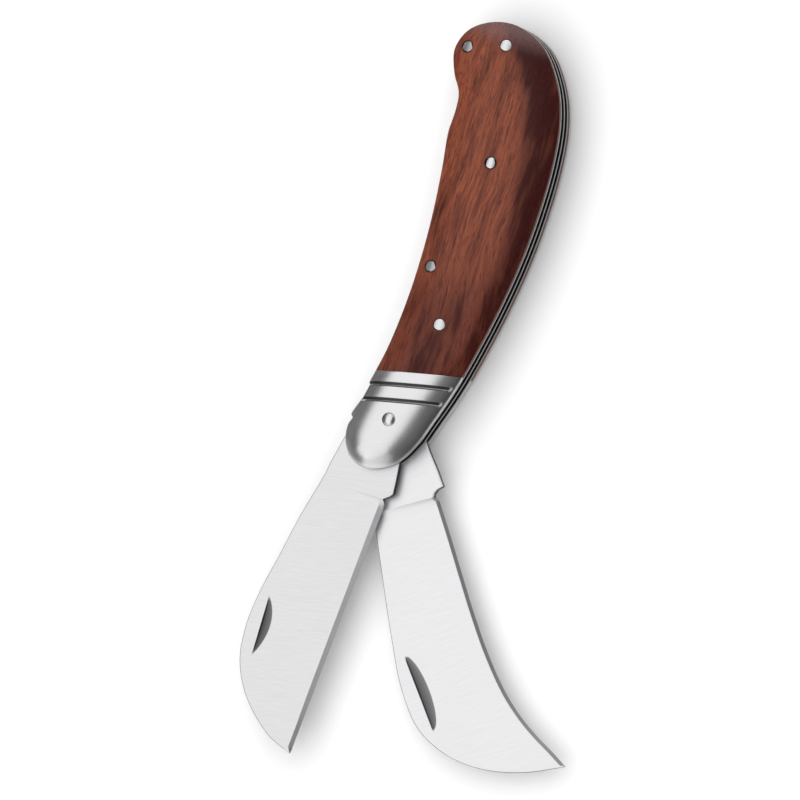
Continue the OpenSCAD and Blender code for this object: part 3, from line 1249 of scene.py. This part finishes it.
        wall = column(at) + self.wall_run
        reach = column(reach)
        along = np.concatenate([
            column(corner) * (1 - np.cos(quarter)),
            column(corner) + (column(at) - column(corner)) * before,
            column(at), wall + (reach - self.wall_run) * floor,
            wall + reach + (column(width - bevel) - wall - reach) * after,
            column(width - bevel) + column(bevel) * last], axis=1)
        face = self.face_height(along, column(width), column(bevel), column(slim),
                                column(inner), column(ground))
        round_off = np.concatenate([column(corner) * (1 - np.sin(quarter)),
                                    np.zeros((len(width), along.shape[1] - 4))], axis=1)
        face = face - np.minimum(round_off, column(slim) * 0.9)
        dug = slice(quarter.size + before.size + 1, quarter.size + before.size + 1 + floor.size)
        cut = np.zeros_like(along)
        cut[:, dug] = column(depth) * (1 - floor)
        flat = left[:, None] + way[:, None] * along[..., None]
        front = np.concatenate([flat, (face - cut)[..., None]], axis=2)
        back = np.concatenate([flat, -face[..., None]], axis=2)[:, ::-1]
        # Painted shade on the spine's corner, in part on the bevel, and on the tang's sides.
        plain = np.zeros_like(along)
        plain[:, :4] = [1.0, 1.0, 0.85, 0.45]
        plain[:, -4:] = self.bevel_shade * column(ground)
        plain[:, -1] = np.maximum(plain[:, -1], 1 - ground)
        nicked = plain.copy()
        # Painted shade on the nick's floor.
        nicked[:, dug] = column(np.clip(3 * depth / self.nick.depth, 0, 1)) * (0.95 - 0.25 * floor)
        return (np.concatenate([front, back], axis=1),
                np.concatenate([nicked, plain[:, ::-1]], axis=1))

    def face_height(self, along: np.ndarray, width: np.ndarray, bevel: np.ndarray,
                    spine: np.ndarray, inner: np.ndarray, ground: np.ndarray) -> np.ndarray:
        """Height of a face over the blade's mid-plane.

        Args:
            along: Distances from the spine.
            width: Each line's length.
            bevel: The bevel's width on each line.
            spine: Half thickness at the spine.
            inner: Half thickness where the bevel starts.
            ground: How far each line is ground, from 0 to 1.

        Returns:
            The heights.
        """
        share = np.clip(along / (width - bevel), 0, 1)
        fall = np.clip((along - width + bevel) / bevel, 0, 1)
        knife = spine + (inner - spine) * share + (self.edge_left / 2 - inner) * fall
        square = spine - self.tang_bevel * np.clip((along - width) / self.tang_bevel + 1, 0, 1)
        return knife * ground + square * (1 - ground)

    def build(self, metal: bpy.types.Material, pivot_radius: float, top: float) -> None:
        """Makes the blade where its node is.

        Args:
            metal: Its material.
            pivot_radius: Radius of the pin that it turns on.
            top: The knife's full thickness.
        """
        low, high = box_of(self.node)
        rings, shade = self.rings((high[2] - low[2]) / 2)
        cos, sin = math.cos(self.turn), math.sin(self.turn)
        x, y = rings[..., 0].copy(), rings[..., 1].copy()
        rings[..., 0], rings[..., 1] = x * cos - y * sin, x * sin + y * cos
        rings[..., 2] += (low[2] + high[2]) / 2
        piece = loft(f"{self.node}_skin", rings, False, True, shade)
        bore(piece, [np.zeros(2)], pivot_radius + self.hole_play, top)
        dress(piece, metal, crease=9)


def grafting_blade() -> Blade:
    """The straight-edged grafting blade."""
    heel, tip = np.array([3.5, -20]), np.array([-1.5, -84.6])
    return Blade(
        node="grafting_blade",
        tang_spine=[(-5.9, -2.2), (-9.8, -2.4), (-10.5, -5.4), (-11.4, -9.5), (-12.5, -14.2),
                    (-12.8, -16.4), (-13, -17.3), (-13.2, -17.9), (-13.3, -18.4)],
        tang_edge=[(5.9, -2.2), (5.4, -3.4), (4.5, -5.6), (4.3, -9), (4.8, -14),
                   (5, -17.1), (4.3, -17.9), (3.3, -18.6), (2.9, -18.9)],
        spine=[(-13.5, -19.2), (-16, -28.5), (-18.1, -38.7), (-20.2, -48.4), (-21.2, -57.8),
               (-20.1, -66.6), (-15.8, -74.6), (-8.4, -81.5), (-1.6, -84.6)],
        edge=[tuple(heel + (tip - heel) * k / 8) for k in range(9)],
        nick=Nick(start=(-17.7, -49.3), end=(-17.7, -64.1), bulge=2.35, fullness=0.9))


def hawkbill_blade(turn: float) -> Blade:
    """The curved pruning blade.

    Args:
        turn: Its angle from fully open.

    Returns:
        The blade.
    """
    return Blade(
        node="hawkbill_blade",
        tang_spine=[(-5.9, -2.2), (-9.8, -2.4), (-10, -5.4), (-10.2, -9.5), (-10.5, -14.2),
                    (-10.7, -17.6), (-10.8, -18.4), (-10.9, -19.2), (-10.9, -20.2)],
        tang_edge=[(5.9, -2.2), (5.8, -3.4), (5.9, -5.6), (6.3, -9), (7.2, -14),
                   (7.7, -18), (6.2, -18.4), (5.2, -19.2), (4.8, -20)],
        spine=[(-11, -21.2), (-11.7, -30.5), (-12.6, -41.5), (-13.3, -52.5), (-13.6, -63),
               (-11.8, -73.8), (-6.4, -81.8), (1.5, -87.4), (11.5, -90.7), (21.8, -91.8)],
        edge=[(5.8, -21.2), (6.6, -30.7), (7.3, -40.5), (8.1, -50.5), (9.3, -60.5),
              (11.3, -70.2), (13.9, -77.5), (16.6, -82.8), (19.4, -87.4), (21.9, -91.8)],
        nick=Nick(start=(-11.1, -56.1), end=(-8.2, -75.4), bulge=2.75, fullness=0.5),
        bevel_width=0.85, bevel_shade=0.55, turn=turn)


# ---- Studio ----


@dataclass(frozen=True)
class Softbox:
    """A rectangular lamp that is aimed at the knife.

    Its direction from the knife is an azimuth in degrees from +X towards +Y, and an
    elevation in degrees over the floor. Its distance and its size are in metres. Radiance is
    how bright its face is, and seen is whether it shows in reflections.
    """

    name: str
    azimuth: float
    elevation: float
    distance: float
    size: tuple[float, float]
    radiance: float
    seen: bool = True


@dataclass
class Studio:
    """Pale floor, soft lights and the camera."""

    lamps: tuple[Softbox, ...] = (
        Softbox("key", 180.0, 73.0, 1.0, (1.6, 1.1), 1.0),
        Softbox("butt_light", 95.0, 26.0, 1.0, (1.2, 0.8), 1.0),
        Softbox("tip_light", 268.0, 26.0, 1.0, (0.9, 1.0), 0.8),
        Softbox("fill", 180.0, 88.0, 2.5, (5.0, 5.0), 1.1, seen=False))
    lamp_aim: tuple[float, float, float] = (0.0, 0.01, 0.008)
    low_wall: tuple[float, Colour] = (0.10, (0.28, 0.28, 0.28))
    high_wall: tuple[float, Colour] = (0.40, (0.09, 0.09, 0.093))
    paper: Colour = (0.90, 0.90, 0.90)
    sensor: float = 36.0
    floor_size: float = 6.0
    distance: float = 4.0
    view_width: float = 0.194
    tilt: float = math.radians(15.5)
    lean: float = math.radians(-3.6)
    roll: float = math.radians(-20.0)
    aim: tuple[float, float] = (2.76, 4.68)

    def axes(self) -> tuple[np.ndarray, np.ndarray, np.ndarray]:
        """The camera's right, up and backward directions.

        The camera looks down the Z axis, tilted towards +X and turned about its own axis.

        Returns:
            Three unit vectors.
        """
        side = np.array([math.cos(self.lean), math.sin(self.lean), 0])
        along = np.array([-side[1], side[0], 0])
        up = np.array([0, 0, 1.0])
        back = up * math.cos(self.tilt) + side * math.sin(self.tilt)
        level = side * math.cos(self.tilt) - up * math.sin(self.tilt)
        right = level * math.cos(self.roll) - along * math.sin(self.roll)
        above = level * math.sin(self.roll) + along * math.cos(self.roll)
        return right, above, back

    def place(self, made: bpy.types.Object, right: np.ndarray, above: np.ndarray,
              back: np.ndarray, where: np.ndarray) -> None:
        """Puts a camera or a lamp in place, looking against its backward direction.

        Args:
            made: The camera or lamp.
            right: Its right direction.
            above: Its up direction.
            back: Its backward direction.
            where: Its place in metres.
        """
        bpy.context.scene.collection.objects.link(made)
        matrix = np.eye(4)
        matrix[:3, 0], matrix[:3, 1], matrix[:3, 2], matrix[:3, 3] = right, above, back, where
        made.matrix_world = Matrix(matrix.tolist())

    def build_camera(self, pivot_top: np.ndarray) -> None:
        """Adds the camera.

        Args:
            pivot_top: The pivot pin's head, in metres.
        """
        right, above, back = self.axes()
        data = bpy.data.cameras.new("camera")
        data.sensor_width = self.sensor
        data.lens = data.sensor_width * self.distance / self.view_width
        data.clip_end = 4 * self.distance
        camera = bpy.data.objects.new("camera", data)
        target = pivot_top + (self.aim[0] * right + self.aim[1] * above) * MM
        self.place(camera, right, above, back, target + back * self.distance)
        bpy.context.scene.camera = camera

    def add_softbox(self, box: Softbox) -> None:
        """Adds a lamp.

        Args:
            box: What the lamp is like.
        """
        turn, rise = math.radians(box.azimuth), math.radians(box.elevation)
        back = np.array([math.cos(rise) * math.cos(turn), math.cos(rise) * math.sin(turn),
                         math.sin(rise)])
        right = np.array([-math.sin(turn), math.cos(turn), 0])
        data = bpy.data.lights.new(box.name, "AREA")
        data.shape = "RECTANGLE"
        data.size, data.size_y = box.size
        data.energy = box.radiance * math.pi * box.size[0] * box.size[1]
        lamp = bpy.data.objects.new(box.name, data)
        lamp.visible_glossy = box.seen
        self.place(lamp, right, np.cross(back, right), back,
                   np.array(self.lamp_aim) + back * box.distance)

    def build_world(self) -> None:
        """A grey room whose walls grow paler towards the floor."""
        world = bpy.data.worlds.new("room")
        bpy.context.scene.world = world
        world.use_nodes = True
        tree = world.node_tree
        tree.nodes.clear()
        where = tree.nodes.new("ShaderNodeTexCoord")
        parts = tree.nodes.new("ShaderNodeSeparateXYZ")
        ramp = tree.nodes.new("ShaderNodeValToRGB")
        sky = tree.nodes.new("ShaderNodeBackground")
        output = tree.nodes.new("ShaderNodeOutputWorld")
        for element, (place, grey) in zip(ramp.color_ramp.elements, (self.low_wall, self.high_wall)):
            element.position, element.color = place, (*grey, 1)
        tree.links.new(where.outputs["Generated"], parts.inputs[0])
        tree.links.new(parts.outputs[2], ramp.inputs[0])
        tree.links.new(ramp.outputs[0], sky.inputs["Color"])
        tree.links.new(sky.outputs[0], output.inputs["Surface"])

    def build_floor(self) -> None:
        """The pale floor that the knife rests on."""
        half = self.floor_size / 2
        mesh = bpy.data.meshes.new("floor")
        mesh.from_pydata([(-half, -half, 0), (half, -half, 0), (half, half, 0), (-half, half, 0)],
                         [], [(0, 1, 2, 3)])
        floor = bpy.data.objects.new("floor", mesh)
        bpy.context.scene.collection.objects.link(floor)
        paint = Paint("floor_paper")
        mesh.materials.append(paint.finish(Base_Color=self.paper, Roughness=0.9))

    def build(self, pivot_top: np.ndarray) -> None:
        """Everything around the knife.

        Args:
            pivot_top: The pivot pin's head, in metres.
        """
        self.build_camera(pivot_top)
        self.build_world()
        self.build_floor()
        for box in self.lamps:
            self.add_softbox(box)
        bpy.context.scene.view_settings.view_transform = "Standard"
        log.info("studio: camera, %d lamps, floor and room", len(self.lamps))


def main() -> None:
    """Builds the knife piece by piece, then the studio around it."""
    logging.basicConfig(level=logging.INFO, format="%(name)s: %(message)s")
    handle = Handle(HandlePlan())
    handle.build()
    PinSet(handle).build()
    swing = next(j for j in frame["joints"] if j["name"] == "hawkbill_blade_pivot")
    turn = math.radians(-swing["range_deg"][0])
    straight = Steel(tone=0.775, roughness=0.36, line_width=0.20, line_length=7.0, line_tone=0.26,
                     line_turn=math.radians(8))
    curved = Steel(tone=0.85, roughness=0.36, line_width=0.20, line_length=7.0, line_tone=0.20,
                   line_turn=turn + math.radians(5))
    grafting_blade().build(straight.material("grafting_steel"), handle.pivot_radius, handle.top)
    hawkbill_blade(turn).build(curved.material("hawkbill_steel"), handle.pivot_radius, handle.top)
    Studio().build(np.array([*(handle.pivot * MM), handle.top * MM]))


if __name__ == "__main__":
    main()
